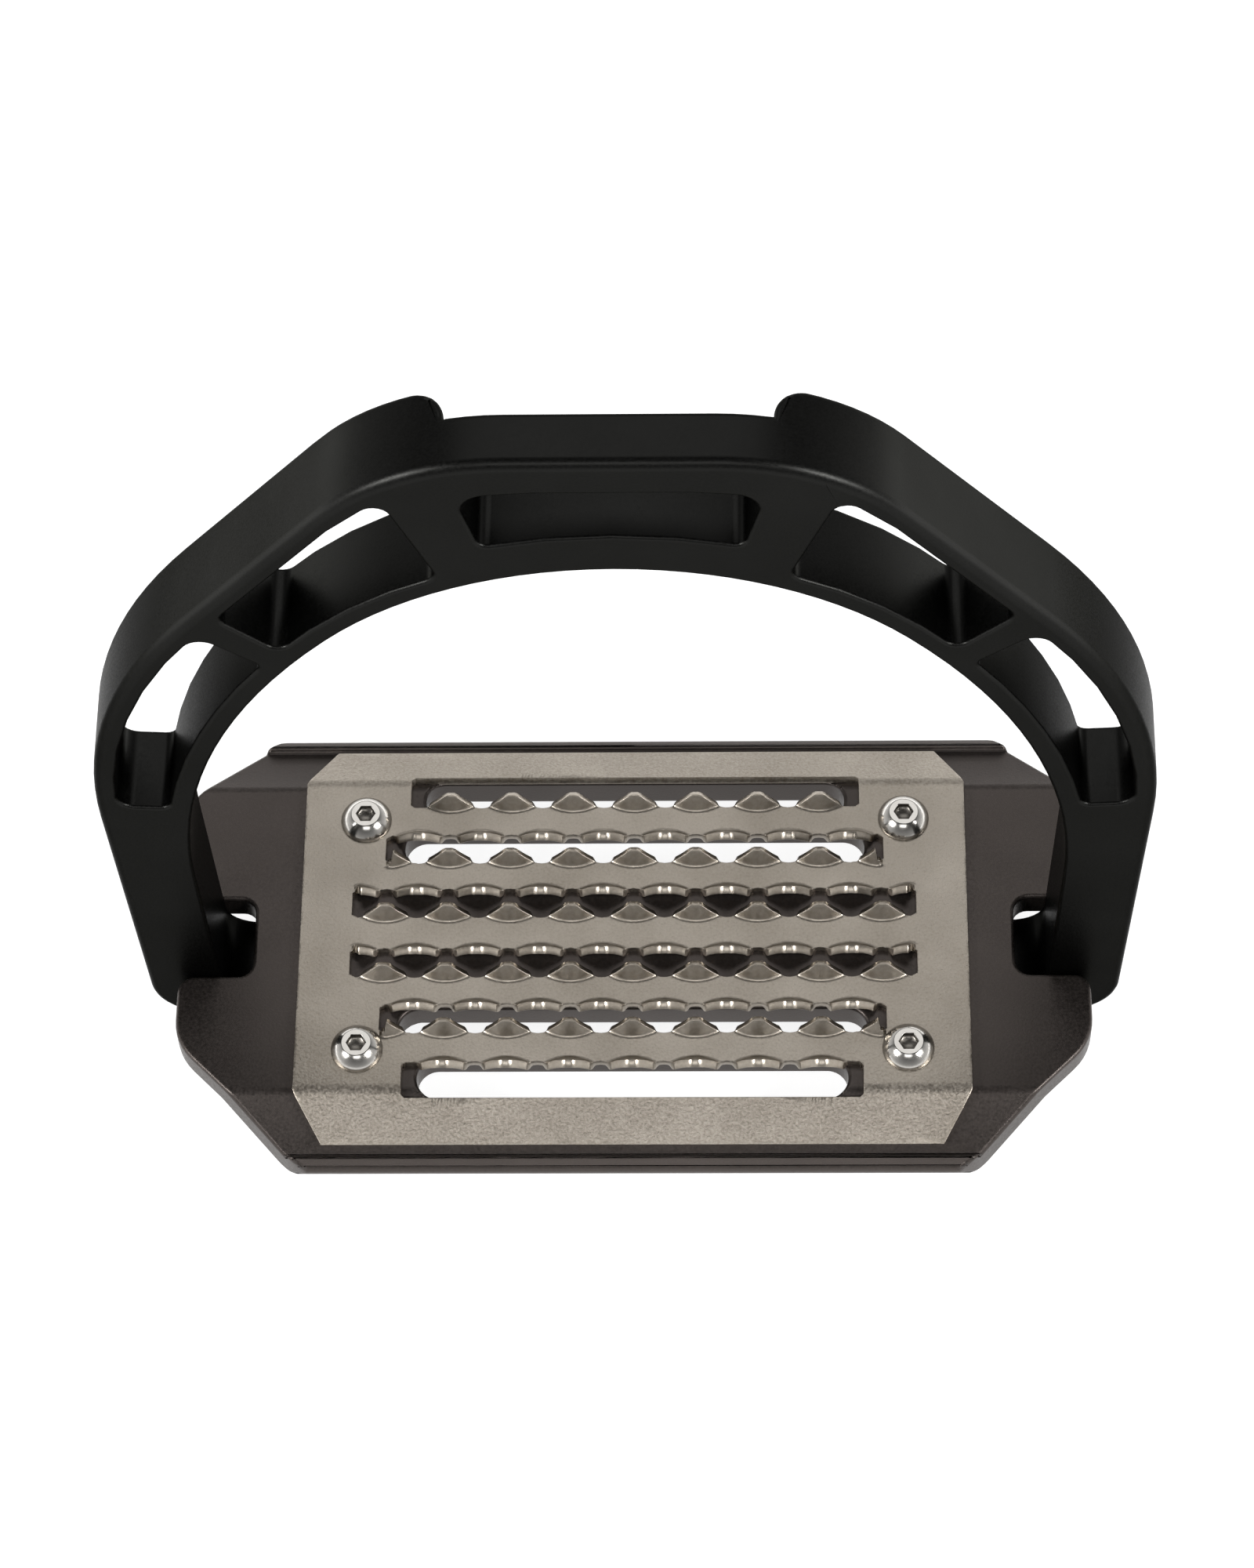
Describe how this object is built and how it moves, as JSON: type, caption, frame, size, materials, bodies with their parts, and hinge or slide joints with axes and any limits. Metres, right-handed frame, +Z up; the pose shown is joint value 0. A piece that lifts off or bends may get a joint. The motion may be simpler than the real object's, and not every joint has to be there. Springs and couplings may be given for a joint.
{
  "type": "riding stirrup",
  "caption": "Rigid riding stirrup: arched bow with an eye for the leather and truss windows, wide bent footbed with drain slots, toothed steel tread held by screws.",
  "frame": {"origin": "middle of the cross bar's underside, the lowest face", "axes": "+X across the foot, to the right as the rider looks forward; +Y the way the toe points, to the ears behind the leather; +Z up"},
  "size_m": [0.147, 0.0724, 0.148],
  "materials": {
    "bow_anodised": "satin black anodised",
    "footbed_anodised": "satin dark grey anodised",
    "tread_stainless": "bead-blasted stainless",
    "screw_stainless": "polished stainless",
    "insert_steel": "plain stainless"
  },
  "bodies": {
    "root": {"bow": "bow_anodised", "footbed": "footbed_anodised", "tread": "tread_stainless", "tread_screws": "screw_stainless", "tread_inserts": "insert_steel", "footbed_screws": "screw_stainless"}
  },
  "joints": []
}
